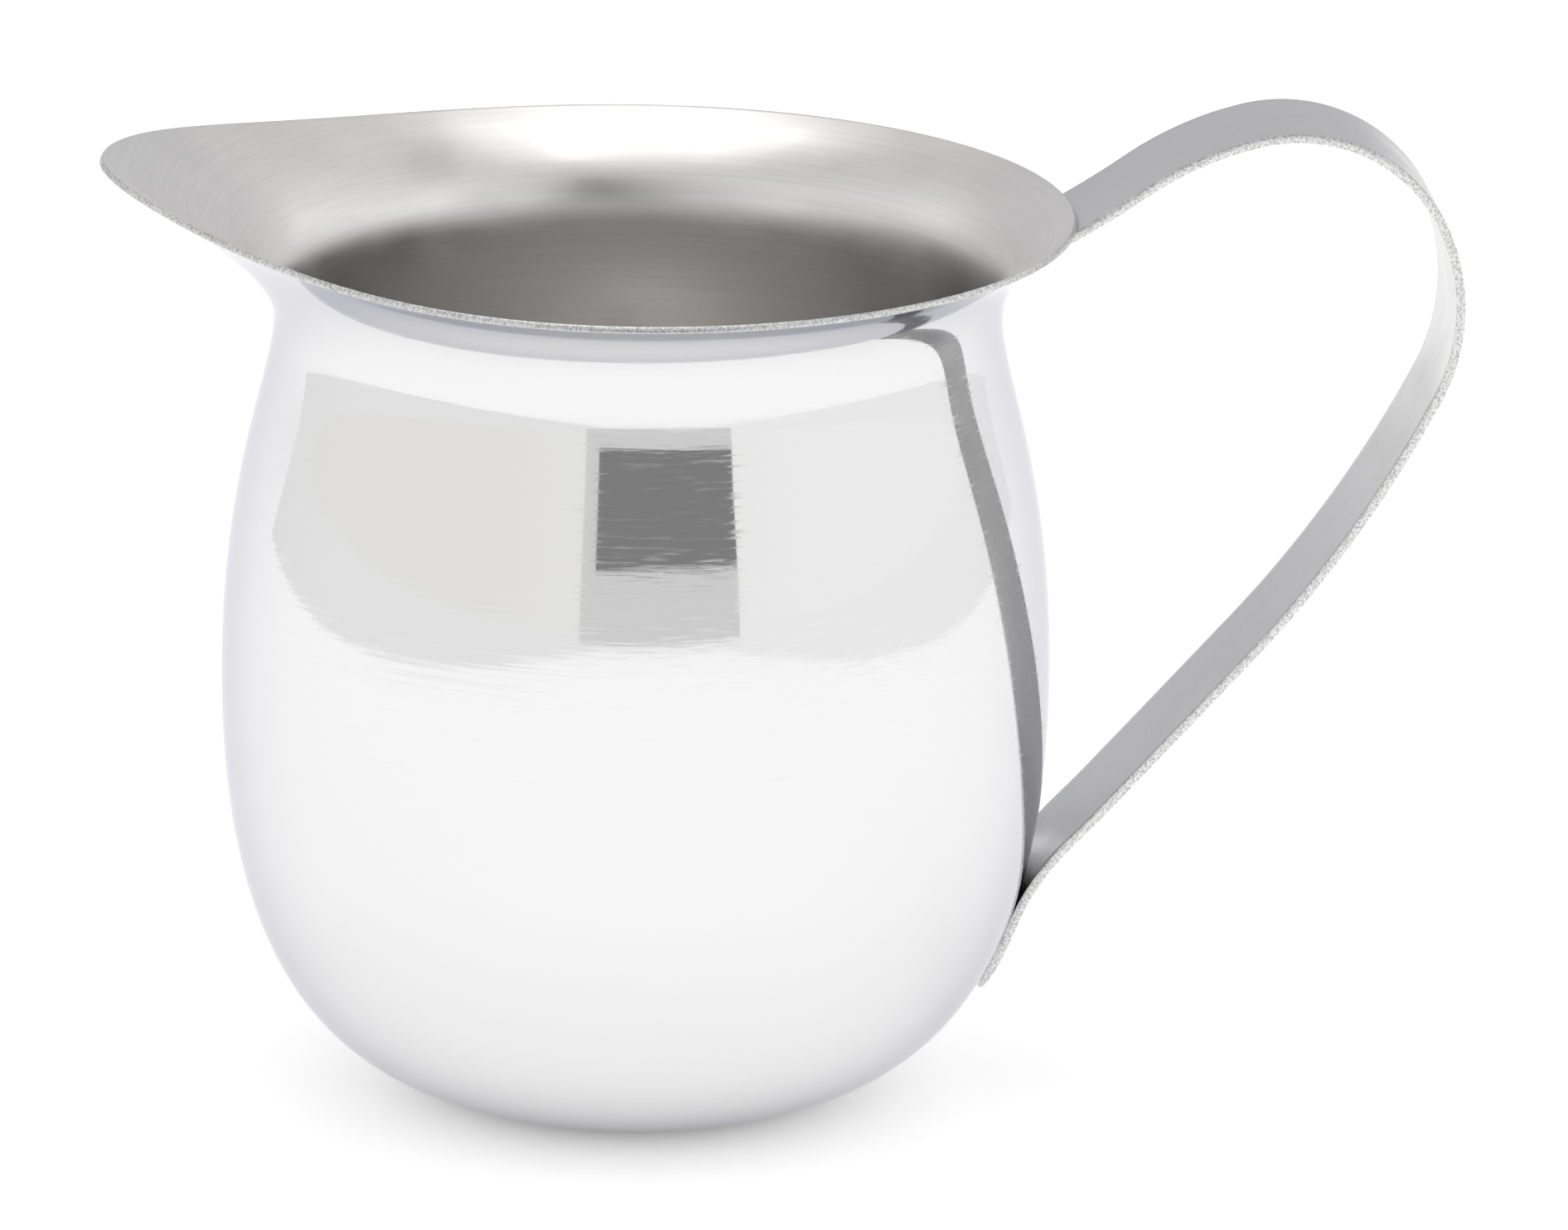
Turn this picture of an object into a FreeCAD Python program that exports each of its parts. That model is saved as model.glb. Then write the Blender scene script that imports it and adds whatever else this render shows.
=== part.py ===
import FreeCAD, Part

import math
import os

from FreeCAD import Rotation, Vector

# Bell-shaped cream jug: a body pressed from one sheet, with a flared rim that is pulled out into a
# spout, and a flat strap handle that is spot-welded to it under the flare and low on the belly.
#
# Frame: origin on the body's axis at the underside of its floor, +Z up, the handle towards +X and
# the spout towards -X. Millimetres.

DIMENSIONS = [
    # The sheet and the body's meridian: cubic curves that meet at the belly and at the neck, where
    # the tangents above follow from those below, so that the curvature runs on.
    ("sheet_gauge", 0.55, "thickness of the body's sheet"),
    ("floor_radius", 9.0, "radius of the flat floor"),
    ("floor_run", 18.2, "how far the floor's curve holds its flat tangent"),
    ("belly_radius", 36.45, "outer radius at the widest place"),
    ("belly_height", 38.1, "height of the widest place"),
    ("belly_fall", 26.5, "vertical tangent below the widest place"),
    ("neck_radius", 31.9, "outer radius at the narrowest place"),
    ("neck_height", 70.4, "height of the narrowest place"),
    ("neck_fall", 5.6, "vertical tangent below the narrowest place"),
    ("rim_radius", 38.25, "outer radius of the rim, away from the spout"),
    ("rim_height", 79.1, "height of the rim's lower edge, away from the spout"),
    ("lip_angle", 29.7, "rise of the flare at the rim, in degrees"),
    ("lip_length", 2.35, "tangent length of the flare at the rim"),
    # The spout: how far the rim is pulled out and up, and over what angle it fades away.
    ("spout_reach", 8.9, "how much further out the rim is at the spout's tip"),
    ("spout_spread", 34.0, "angle over which the reach fades, in degrees"),
    ("spout_fade", 1.46, "exponent of the reach's fading"),
    ("spout_lift", 5.55, "how much higher the rim is at the spout's tip"),
    ("lift_spread", 39.2, "angle over which the lift fades, in degrees"),
    ("lift_fade", 1.88, "exponent of the lift's fading"),
    ("tip_blend", 7.0, "angle over which the tip is rounded, in degrees"),
    ("spout_lip_length", 6.0, "tangent length of the spout at its tip"),
    ("spout_lip_angle", 36.0, "rise of the spout at its tip, in degrees"),
    # The handle: a flat strip, given by the corners of its centre line and the bend at each.
    ("strap_width", 12.7, "width of the strip"),
    ("strap_gauge", 0.8, "thickness of the strip"),
    ("weld_gap", 0.02, "clearance of the tabs from the body, closed by the weld nuggets"),
    ("upper_tab_start", 0.42, "where the upper tab starts on the flare's curve, 0 at the neck"),
    ("upper_lead", 3.0, "straight stretch beyond the rim"),
    ("shoulder_reach", 47.9, "corner where the strip levels out"),
    ("shoulder_height", 85.2, ""),
    ("shoulder_bend", 26.0, "bend radius there"),
    ("crest_reach", 66.0, "corner at the top of the loop"),
    ("crest_height", 89.9, ""),
    ("crest_bend", 14.5, "bend radius there"),
    ("back_reach", 73.3, "corner at the back of the loop"),
    ("back_height", 69.9, ""),
    ("back_bend", 17.9, "bend radius there"),
    ("waist_reach", 62.7, "corner where the strip turns in towards the belly"),
    ("waist_height", 49.8, ""),
    ("waist_bend", 106.0, "bend radius there"),
    ("lower_lead", 4.5, "stretch between the lower tab and the corner above it"),
    ("lower_tab_top", 16.0, "height at which the lower tab meets the belly"),
    ("lower_tab_end", 9.6, "height of the lower tab's end"),
    ("tab_corner", 4.0, "radius of the lower tab's corners"),
    ("wrap_run", 14.0, "length over which the strip goes from curved round the body to flat"),
    # The weld nuggets.
    ("nugget_radius", 1.6, "radius of a nugget"),
    ("nugget_depth", 0.3, "how far a nugget reaches into each sheet"),
    ("nugget_pitch", 8.6, "distance between the two nuggets of a joint"),
    ("upper_nugget_place", 0.75, "where the upper nuggets lie on the flare's curve"),
    ("lower_nugget_height", 12.8, "height of the lower nuggets"),
]

MERIDIANS = 72
STATION_STEP = 1.5
TAB_STATIONS = 8
SAME_WAY = 1

doc = FreeCAD.newDocument("CreamJug")
sheet = doc.addObject("Spreadsheet::Sheet", "Dimensions")
for row, (alias, value, note) in enumerate(DIMENSIONS, start=1):
    sheet.set(f"A{row}", alias)
    sheet.set(f"B{row}", str(value))
    sheet.set(f"C{row}", note)
    sheet.setAlias(f"B{row}", alias)
doc.recompute()


def size(alias):
    return float(sheet.get(alias))


# ---------------------------------------------------------------------------------------------
# The body's meridian, as (radius, height) poles of cubic Bezier curves
# ---------------------------------------------------------------------------------------------


def lower_bowl():
    """Outer meridian from the floor to the widest place."""
    return [
        (size("floor_radius"), 0.0),
        (size("floor_radius") + size("floor_run"), 0.0),
        (size("belly_radius"), size("belly_height") - size("belly_fall")),
        (size("belly_radius"), size("belly_height")),
    ]


def matching_tangent(tangent, step, next_step):
    """Tangent length that gives the next curve the same curvature, where both run straight up.

    A step is how far a curve's other inner pole lies to the side of that vertical tangent.
    """
    return tangent * math.sqrt(next_step / step)


def upper_bowl():
    """Outer meridian from the widest place to the neck."""
    floor_step = size("belly_radius") - size("floor_radius") - size("floor_run")
    neck_step = size("belly_radius") - size("neck_radius")
    belly_rise = matching_tangent(size("belly_fall"), floor_step, neck_step)
    return [
        (size("belly_radius"), size("belly_height")),
        (size("belly_radius"), size("belly_height") + belly_rise),
        (size("neck_radius"), size("neck_height") - size("neck_fall")),
        (size("neck_radius"), size("neck_height")),
    ]


def fading(angle, spread, fade):
    """1 at the spout's tip, falling to 0 round the rim, with a rounded top."""
    blend = size("tip_blend")
    rounded = math.hypot(angle, blend) ** fade - blend**fade
    return math.exp(-rounded / spread**fade)


def plain_run():
    """How far in from the rim the flare's inner pole lies, away from the spout."""
    return size("lip_length") * math.cos(math.radians(size("lip_angle")))


def flare(angle):
    """Outer meridian from the neck to the rim, at an angle in degrees from the spout's tip."""
    reach = fading(angle, size("spout_spread"), size("spout_fade"))
    lift = fading(angle, size("lift_spread"), size("lift_fade"))
    rim_radius = size("rim_radius") + size("spout_reach") * reach
    rim_height = size("rim_height") + size("spout_lift") * lift
    length = size("lip_length") + (size("spout_lip_length") - size("lip_length")) * reach
    slope = size("lip_angle") + (size("spout_lip_angle") - size("lip_angle")) * reach
    slope = math.radians(slope)
    shoulder_step = size("belly_radius") - size("neck_radius")
    round_step = size("rim_radius") - plain_run() - size("neck_radius")
    neck_rise = matching_tangent(size("neck_fall"), shoulder_step, round_step)
    return [
        (size("neck_radius"), size("neck_height")),
        (size("neck_radius"), size("neck_height") + neck_rise),
        (rim_radius - length * math.cos(slope), rim_height - length * math.sin(slope)),
        (rim_radius, rim_height),
    ]


def inset(poles, gauge):
    """Poles of the parallel curve, a gauge to the left of the direction of travel."""
    legs = []
    for (r0, z0), (r1, z1) in zip(poles, poles[1:]):
        length = math.hypot(r1 - r0, z1 - z0)
        legs.append(((r1 - r0) / length, (z1 - z0) / length))
    moved = []
    for index, (radius, height) in enumerate(poles):
        before = legs[max(index - 1, 0)]
        after = legs[min(index, len(legs) - 1)]
        share = gauge / (1.0 + before[0] * after[0] + before[1] * after[1])
        moved.append((radius - share * (before[1] + after[1]), height + share * (before[0] + after[0])))
    return moved


def on_curve(poles, place):
    """Point and unit tangent of a cubic Bezier at a place from 0 to 1."""
    rest = 1.0 - place
    weights = [rest**3, 3 * rest**2 * place, 3 * rest * place**2, place**3]
    slopes = [-3 * rest**2, 3 * rest**2 - 6 * rest * place, 6 * rest * place - 3 * place**2, 3 * place**2]
    point = [sum(w * pole[axis] for w, pole in zip(weights, poles)) for axis in (0, 1)]
    tangent = [sum(s * pole[axis] for s, pole in zip(slopes, poles)) for axis in (0, 1)]
    length = math.hypot(*tangent)
    return point, [tangent[0] / length, tangent[1] / length]


def place_at_height(poles, height):
    """Place on a rising curve where it has the given height."""
    low, high = 0.0, 1.0
    for _ in range(50):
        middle = (low + high) / 2
        if on_curve(poles, middle)[0][1] < height:
            low = middle
        else:
            high = middle
    return (low + high) / 2


# ---------------------------------------------------------------------------------------------
# jug_body
# ---------------------------------------------------------------------------------------------


def skin(meridian):
    """Closed surface round the axis through the meridian at each angle, exact along each of them."""
    angles = [360.0 * step / MERIDIANS for step in range(MERIDIANS)]
    curves = []
    for pole in range(4):
        ring = []
        for angle in angles:
            radius, height = meridian(abs(180.0 - angle))[pole]
            turn = math.radians(angle)
            ring.append(Vector(radius * math.cos(turn), radius * math.sin(turn), height))
        curve = Part.BSplineCurve()
        curve.interpolate(Points=ring, PeriodicFlag=True, Parameters=angles + [360.0])
        curves.append(curve)
    poles = [list(column) for column in zip(*[curve.getPoles() for curve in curves])]
    mults = curves[0].getMultiplicities()
    knots = curves[0].getKnots()
    surface = Part.BSplineSurface()
    surface.buildFromPolesMultsKnots(poles, mults, [4, 4], knots, [0.0, 1.0], True, False, 3, 3)
    return surface


def ring_edge(surface, place):
    return surface.vIso(place).toShape()


def disc(edge):
    return Part.Face(Part.Wire(edge))


def solid_of(faces):
    shell = Part.Shell(faces)
    shell.sewShape()
    solid = Part.Solid(Part.Shell(shell.Faces))
    if solid.Volume < 0:
        solid.reverse()
    return solid


def body_shape():
    """The body's sheet as one closed solid."""
    gauge = size("sheet_gauge")
    outer = [skin(lambda angle: lower_bowl()), skin(lambda angle: upper_bowl()), skin(flare)]
    inner = [
        skin(lambda angle: inset(lower_bowl(), gauge)),
        skin(lambda angle: inset(upper_bowl(), gauge)),
        skin(lambda angle: inset(flare(angle), gauge)),
    ]
    rim = Part.makeRuledSurface(ring_edge(outer[2], 1.0), ring_edge(inner[2], 1.0))
    faces = [surface.toShape() for surface in outer + inner]
    faces += [rim, disc(ring_edge(outer[0], 0.0)), disc(ring_edge(inner[0], 0.0))]
    return solid_of(faces)


# ---------------------------------------------------------------------------------------------
# strap_handle
# ---------------------------------------------------------------------------------------------


def bend_points(start, corner, end, radius):
    """Points round a bend of the given radius that is tangent to both legs of a corner."""
    arrive = math.atan2(corner[1] - start[1], corner[0] - start[0])
    leave = math.atan2(end[1] - corner[1], end[0] - corner[0])
    turn = math.remainder(leave - arrive, 2 * math.pi)
    setback = radius * math.tan(abs(turn) / 2)
    side = math.copysign(radius, turn)
    first = (corner[0] - setback * math.cos(arrive), corner[1] - setback * math.sin(arrive))
    centre = (first[0] - side * math.sin(arrive), first[1] + side * math.cos(arrive))
    count = max(3, math.ceil(radius * abs(turn) / STATION_STEP))
    points = []
    for step in range(count + 1):
        heading = arrive + turn * step / count
        points.append((centre[0] + side * math.sin(heading), centre[1] - side * math.cos(heading)))
    return points


def radius_for_setback(start, corner, end, setback):
    """Bend radius whose arc starts a setback before the corner."""
    arrive = math.atan2(corner[1] - start[1], corner[0] - start[0])
    leave = math.atan2(end[1] - corner[1], end[0] - corner[0])
    turn = math.remainder(leave - arrive, 2 * math.pi)
    return setback / math.tan(abs(turn) / 2)


def tab_stations(poles, first, last):
    """Centre line, body radius and full wrap along a tab that lies on a meridian of the body."""
    stand_off = size("strap_gauge") / 2 + size("weld_gap")
    stations = []
    for step in range(TAB_STATIONS + 1):
        place = first + (last - first) * step / TAB_STATIONS
        (radius, height), (run, rise) = on_curve(poles, place)
        stations.append(((radius + stand_off * rise, height - stand_off * run), radius, 1.0))
    return stations


def loop_points(lip, heading, foot, rising):
    """Centre line of the loop between the two tabs, as closely spaced points."""
    upper_lead, lower_lead = size("upper_lead"), size("lower_lead")
    corners = [
        lip,
        (lip[0] + upper_lead * heading[0], lip[1] + upper_lead * heading[1]),
        (size("shoulder_reach"), size("shoulder_height")),
        (size("crest_reach"), size("crest_height")),
        (size("back_reach"), size("back_height")),
        (size("waist_reach"), size("waist_height")),
        (foot[0] + lower_lead * rising[0], foot[1] + lower_lead * rising[1]),
        foot,
    ]
    bends = [
        radius_for_setback(*corners[:3], upper_lead),
        size("shoulder_bend"),
        size("crest_bend"),
        size("back_bend"),
        size("waist_bend"),
        radius_for_setback(*corners[-3:], lower_lead),
    ]
    points = [lip]
    for index, radius in enumerate(bends):
        bend = bend_points(*corners[index : index + 3], radius)
        straight = math.dist(points[-1], bend[0])
        count = max(1, round(straight / STATION_STEP))
        last = points[-1]
        for step in range(1, count):
            share = step / count
            points.append(tuple(a + (b - a) * share for a, b in zip(last, bend[0])))
        points += bend if straight > STATION_STEP / 2 else bend[1:]
    return points[1:-1]


def strap_stations():
    """Centre line of the strip with the body radius that it wraps and how fully it does so."""
    upper, lower = flare(180.0), lower_bowl()
    top = place_at_height(lower, size("lower_tab_top"))
    end = place_at_height(lower, size("lower_tab_end"))
    upper_tab = tab_stations(upper, size("upper_tab_start"), 1.0)
    lower_tab = tab_stations(lower, top, end)
    lip, foot = upper_tab[-1][0], lower_tab[0][0]
    loop = loop_points(lip, on_curve(upper, 1.0)[1], foot, on_curve(lower, top)[1])
    stations = list(upper_tab)
    for point in loop:
        near_lip, near_foot = math.dist(point, lip), math.dist(point, foot)
        radius = upper_tab[-1][1] if near_lip < near_foot else lower_tab[0][1]
        flatness = min(1.0, min(near_lip, near_foot) / size("wrap_run"))
        stations.append((point, radius, (1.0 + math.cos(math.pi * flatness)) / 2))
    return stations + lower_tab


def strap_face(stations, offset):
    """One broad face of the strip, at an offset to the left of its centre line."""
    half_width = size("strap_width") / 2
    places = [0.0]
    for (point, _, _), (following, _, _) in zip(stations, stations[1:]):
        places.append(places[-1] + math.dist(point, following))
    curves = []
    for side in (-1, 0, 1):
        points = []
        for index, ((reach, height), radius, wrap) in enumerate(stations):
            before = stations[max(index - 1, 0)][0]
            after = stations[min(index + 1, len(stations) - 1)][0]
            length = math.dist(before, after)
            run, rise = (after[0] - before[0]) / length, (after[1] - before[1]) / length
            sag = wrap * (radius - math.sqrt(radius**2 - half_width**2))
            sag = sag if side else -sag
            points.append(Vector(reach - offset * rise - sag, side * half_width, height + offset * run))
        curve = Part.BSplineCurve()
        curve.interpolate(Points=points, Parameters=places)
        curves.append(curve)
    poles = [list(column) for column in zip(*[curve.getPoles() for curve in curves])]
    mults, knots = curves[0].getMultiplicities(), curves[0].getKnots()
    surface = Part.BSplineSurface()
    surface.buildFromPolesMultsKnots(poles, mults, [3, 3], knots, [0.0, 1.0], False, False, 3, 2)
    return surface


def strap_shape():
    """The bent strip with both tabs, and the lower tab's corners rounded."""
    stations = strap_stations()
    outer = strap_face(stations, size("strap_gauge") / 2)
    inner = strap_face(stations, -size("strap_gauge") / 2)
    first, last = outer.bounds()[:2]
    borders = [(outer.uIso(place), inner.uIso(place)) for place in (first, last)]
    borders += [(outer.vIso(place), inner.vIso(place)) for place in (0.0, 1.0)]
    faces = [outer.toShape(), inner.toShape()]
    faces += [Part.makeRuledSurface(one.toShape(), other.toShape(), SAME_WAY) for one, other in borders]
    return solid_of(faces).cut(corner_waste(stations))


def corner_waste(stations):
    """What is trimmed off the lower tab's two corners to round them."""
    end, before = stations[-1][0], stations[-TAB_STATIONS // 2][0]
    length = math.dist(before, end)
    along = Vector((end[0] - before[0]) / length, 0, (end[1] - before[1]) / length)
    through = along.cross(Vector(0, 1, 0)) * (4 * size("strap_gauge"))
    radius, half_width = size("tab_corner"), size("strap_width") / 2
    tip = Vector(end[0], 0, end[1]) + along * size("strap_gauge")
    waste = []
    for side in (-1, 1):
        across = Vector(0, side, 0)
        centre = Vector(end[0], 0, end[1]) + across * (half_width - radius) - along * radius
        flank, nose = centre + across * radius, centre + along * radius
        middle = centre + (across + along) * (radius * math.sqrt(0.5))
        corner = tip + across * (half_width + size("strap_gauge"))
        outline = [
            Part.Arc(flank, middle, nose).toShape(),
            Part.makeLine(nose, nose + along * size("strap_gauge")),
            Part.makeLine(nose + along * size("strap_gauge"), corner),
            Part.makeLine(corner, flank + across * size("strap_gauge")),
            Part.makeLine(flank + across * size("strap_gauge"), flank),
        ]
        face = Part.Face(Part.Wire(outline))
        face.translate(through * -0.5)
        waste.append(face.extrude(through))
    return Part.Compound(waste)


# ---------------------------------------------------------------------------------------------
# The document: the sheet-metal blanks, the weld nuggets, and the parts with room for them
# ---------------------------------------------------------------------------------------------


def blank(name, shape):
    feature = doc.addObject("Part::Feature", name)
    feature.Shape = shape
    feature.Placement = FreeCAD.Placement()
    return feature


def spot_welds(label, poles, place):
    """A pair of nuggets, side by side, half in the body and half in the strap."""
    (radius, height), (run, rise) = on_curve(poles, place)
    half_height = size("nugget_depth") + size("weld_gap") / 2
    spread = math.degrees(math.asin(size("nugget_pitch") / 2 / radius))
    outward = Rotation(Vector(0, 0, 1), Vector(rise, 0, -run))
    root = Vector(radius, 0, height) - Vector(rise, 0, -run) * (half_height - size("weld_gap") / 2)
    pair = []
    for turn in (-spread, spread):
        nugget = doc.addObject("Part::Cylinder", "Nugget")
        nugget.setExpression("Radius", "Dimensions.nugget_radius")
        nugget.setExpression("Height", "2 * Dimensions.nugget_depth + Dimensions.weld_gap")
        about_axis = Rotation(Vector(0, 0, 1), turn)
        nugget.Placement = FreeCAD.Placement(about_axis.multVec(root), about_axis.multiply(outward))
        pair.append(nugget)
    group = doc.addObject("Part::Compound", label)
    group.Links = pair
    group.Label = label
    return group


def with_pockets(label, source, welds):
    part = doc.addObject("Part::Cut", label)
    part.Base = source
    part.Tool = welds
    part.Label = label
    return part


upper_welds = spot_welds("upper_spot_welds", flare(180.0), size("upper_nugget_place"))
lower_place = place_at_height(lower_bowl(), size("lower_nugget_height"))
lower_welds = spot_welds("lower_spot_welds", lower_bowl(), lower_place)
all_welds = doc.addObject("Part::Compound", "AllWelds")
all_welds.Links = [upper_welds, lower_welds]

pressed_sheet = blank("PressedSheet", body_shape())
bent_strip = blank("BentStrip", strap_shape())
jug_body = with_pockets("jug_body", pressed_sheet, all_welds)
strap_handle = with_pockets("strap_handle", bent_strip, all_welds)
doc.recompute()

for item in doc.Objects:
    faults = {"Invalid", "Error"} & set(item.State)
    if faults:
        raise RuntimeError(f"{item.Label}: {sorted(faults)}")

parts = [jug_body, strap_handle, upper_welds, lower_welds]
for part in parts:
    if part.Shape.isNull() or not part.Shape.isValid():
        raise RuntimeError(f"{part.Label}: its shape is null or not valid")

os.makedirs("parts", exist_ok=True)
for part in parts:
    part.Shape.exportStep(f"parts/{part.Label}.step")
    print(f"{part.Label}: {len(part.Shape.Solids)} solid(s), {part.Shape.Volume:.1f} mm3")
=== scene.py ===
import math

import bpy
from mathutils import Matrix, Vector


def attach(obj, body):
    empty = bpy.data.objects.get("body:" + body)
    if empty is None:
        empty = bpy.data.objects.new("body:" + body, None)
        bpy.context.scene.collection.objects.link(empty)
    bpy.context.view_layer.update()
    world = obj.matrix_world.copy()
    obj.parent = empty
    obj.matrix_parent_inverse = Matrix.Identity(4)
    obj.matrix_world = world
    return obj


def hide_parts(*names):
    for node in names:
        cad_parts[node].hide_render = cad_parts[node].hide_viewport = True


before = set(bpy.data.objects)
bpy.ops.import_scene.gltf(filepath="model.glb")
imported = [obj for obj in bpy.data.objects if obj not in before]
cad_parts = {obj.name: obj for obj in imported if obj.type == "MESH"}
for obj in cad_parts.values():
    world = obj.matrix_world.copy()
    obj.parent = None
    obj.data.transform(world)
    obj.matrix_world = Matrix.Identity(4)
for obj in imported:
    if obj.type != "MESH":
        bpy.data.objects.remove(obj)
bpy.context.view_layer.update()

bl_info = {
    "name": "Strap-handled cream jug",
    "version": (1, 0, 0),
    "blender": (4, 5, 0),
    "location": "View3D > Sidebar > Cream jug",
    "description": "A pressed stainless cream jug with a spot-welded strap handle",
    "category": "Add Mesh",
}

MM = 0.001


def linear(hex_value):
    """Linear colour of an sRGB hex value such as #D2D1D0."""
    parts = [int(hex_value[place : place + 2], 16) / 255 for place in (1, 3, 5)]
    return (*(part / 12.92 if part <= 0.04045 else ((part + 0.055) / 1.055) ** 2.4 for part in parts), 1.0)


# ---------------------------------------------------------------------------------------------
# Settings
# ---------------------------------------------------------------------------------------------


def length(name, millimetres, description):
    """A setting that holds a length."""
    return bpy.props.FloatProperty(
        name=name, default=millimetres * MM, min=0.0, precision=5, unit="LENGTH", description=description
    )


def angle(name, degrees, description):
    """A setting that holds an angle."""
    return bpy.props.FloatProperty(
        name=name, default=math.radians(degrees), precision=4, subtype="ANGLE", description=description
    )


def colour(name, hex_value, description):
    """A setting that holds a colour."""
    return bpy.props.FloatVectorProperty(
        name=name,
        default=linear(hex_value),
        size=4,
        min=0.0,
        max=1.0,
        subtype="COLOR",
        description=description,
    )


class JUG_PG_body(bpy.types.PropertyGroup):
    """Sizes of the pressed body"""

    sheet_gauge: length("Sheet gauge", 0.55, "Thickness of the body's sheet")
    floor_radius: length("Floor radius", 9.0, "Radius of the flat floor")
    floor_run: length("Floor run", 18.2, "How far the floor's curve holds its flat tangent")
    belly_radius: length("Belly radius", 36.45, "Outer radius at the widest place")
    belly_height: length("Belly height", 38.1, "Height of the widest place")
    belly_fall: length("Belly fall", 26.5, "Vertical tangent below the widest place")
    neck_radius: length("Neck radius", 31.9, "Outer radius at the narrowest place")
    neck_height: length("Neck height", 70.4, "Height of the narrowest place")
    neck_fall: length("Neck fall", 5.6, "Vertical tangent below the narrowest place")
    rim_radius: length("Rim radius", 38.25, "Outer radius of the rim, away from the spout")
    rim_height: length("Rim height", 79.1, "Height of the rim's lower edge, away from the spout")
    lip_angle: angle("Lip angle", 29.7, "Rise of the flare at the rim")
    lip_length: length("Lip length", 2.35, "Tangent length of the flare at the rim")
    spout_reach: length("Spout reach", 8.9, "How much further out the spout's tip is")
    spout_spread: angle("Spout spread", 34.0, "Angle over which the reach fades")
    spout_fade: bpy.props.FloatProperty(
        name="Spout fade", default=1.46, min=0.5, max=4.0, description="Exponent of the reach's fading"
    )
    spout_lift: length("Spout lift", 5.55, "How much higher the spout's tip is")
    lift_spread: angle("Lift spread", 39.2, "Angle over which the lift fades")
    lift_fade: bpy.props.FloatProperty(
        name="Lift fade", default=1.88, min=0.5, max=4.0, description="Exponent of the lift's fading"
    )
    tip_blend: angle("Tip blend", 7.0, "Angle over which the tip is rounded")
    spout_lip_length: length("Spout lip length", 6.0, "Tangent length of the spout at its tip")
    spout_lip_angle: angle("Spout lip angle", 36.0, "Rise of the spout at its tip")
    rim_break: length("Rim break", 0.07, "Rounding of the cut rim's two arrises")
    mark_radius: length("Weld mark radius", 1.3, "Radius of the dents that the welding tips leave")
    mark_depth: length("Weld mark depth", 0.05, "Depth of those dents")


class JUG_PG_strap(bpy.types.PropertyGroup):
    """Sizes of the strap handle: its section, its tabs, and the corners and bends of its centre line"""

    width: length("Width", 12.7, "Width of the strip")
    gauge: length("Gauge", 0.8, "Thickness of the strip")
    weld_gap: length("Weld gap", 0.02, "Clearance of the tabs from the body")
    upper_tab_start: bpy.props.FloatProperty(
        name="Upper tab start",
        default=0.42,
        min=0.0,
        max=0.9,
        description="Tab's start: 0 at the neck, 1 at the rim",
    )
    upper_lead: length("Upper lead", 3.0, "Straight stretch beyond the rim")
    shoulder_reach: length("Shoulder reach", 47.9, "Corner where the strip levels out")
    shoulder_height: length("Shoulder height", 85.2, "Height of that corner")
    shoulder_bend: length("Shoulder bend", 26.0, "Bend radius there")
    crest_reach: length("Crest reach", 66.0, "Corner at the top of the loop")
    crest_height: length("Crest height", 89.9, "Height of that corner")
    crest_bend: length("Crest bend", 14.5, "Bend radius there")
    back_reach: length("Back reach", 73.3, "Corner at the back of the loop")
    back_height: length("Back height", 69.9, "Height of that corner")
    back_bend: length("Back bend", 17.9, "Bend radius there")
    waist_reach: length("Waist reach", 62.7, "Corner where the strip turns in to the belly")
    waist_height: length("Waist height", 49.8, "Height of that corner")
    waist_bend: length("Waist bend", 106.0, "Bend radius there")
    lower_lead: length("Lower lead", 4.5, "Stretch between the lower tab and its corner")
    lower_tab_top: length("Lower tab top", 16.0, "Height at which the tab meets the belly")
    lower_tab_end: length("Lower tab end", 9.6, "Height of the tab's end")
    tab_corner: length("Tab corner", 4.0, "Radius of the lower tab's corners")
    wrap_run: length("Wrap run", 14.0, "Length over which the strip goes from curved to flat")
    edge_break: length("Edge break", 0.1, "Rounding of the strip's cut edges")


class JUG_PG_finish(bpy.types.PropertyGroup):
    """Colours of the steel, and the grain of its finishes"""

    polished: colour("Polished steel", "#E8E8E8", "Outside of the body, buffed to a mirror")
    polished_edge: colour("Polished steel, edge on", "#E2E2E7", "Tint of the buffed steel at glancing angles")
    inside: colour("Inside steel", "#F1EFED", "Inside of the body, satin")
    strip: colour("Satin strip", "#DCDCDC", "Broad faces of the strap")
    cut_edge: colour("Cut edge", "#E8E8E7", "Sheared edges of the sheet and the strip")
    weld: colour("Weld", "#A9A7A4", "Fused metal of the nuggets")
    # Real buffing and satin lines, and the grains of a sheared face, are some hundredths of a millimetre
    # apart, too fine to show from where the camera stands. The three sizes below are drawn coarser than
    # the real ones, as coarse as they need to be to show.
    buffing_line: length("Buffing line", 0.3, "Spacing of the lines that buffing leaves")
    satin_line: length("Satin line", 0.35, "Spacing of the abrasive's lines")
    shear_grain: length("Shear grain", 0.22, "Size of the grains on sheared edges")


class JUG_PG_stage(bpy.types.PropertyGroup):
    """Where the camera stands, and the studio round the jug"""

    azimuth: angle("Azimuth", -5.594, "Turn of the camera round the jug")
    elevation: angle("Elevation", 16.177, "Height of the camera above the horizon")
    roll: angle("Roll", 0.612, "Turn of the camera about its own axis")
    distance: length("Distance", 1438.5, "From the camera to what it aims at")
    aim_right: length("Aim right", 13.0, "How far right of the body's axis it aims")
    aim_height: length("Aim height", 43.2, "How high it aims")
    lens: bpy.props.FloatProperty(
        name="Lens",
        default=375.8,
        min=10.0,
        subtype="DISTANCE_CAMERA",
        description="Focal length, 36 mm sensor",
    )
    floor: colour("Floor", "#E6E6E6", "The light table that the jug stands on")
    walls: colour("Walls", "#FDFCFB", "The studio's pale walls")


# ---------------------------------------------------------------------------------------------
# Geometry shared by the pieces: the spout is towards -X and the handle towards +X
# ---------------------------------------------------------------------------------------------


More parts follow.
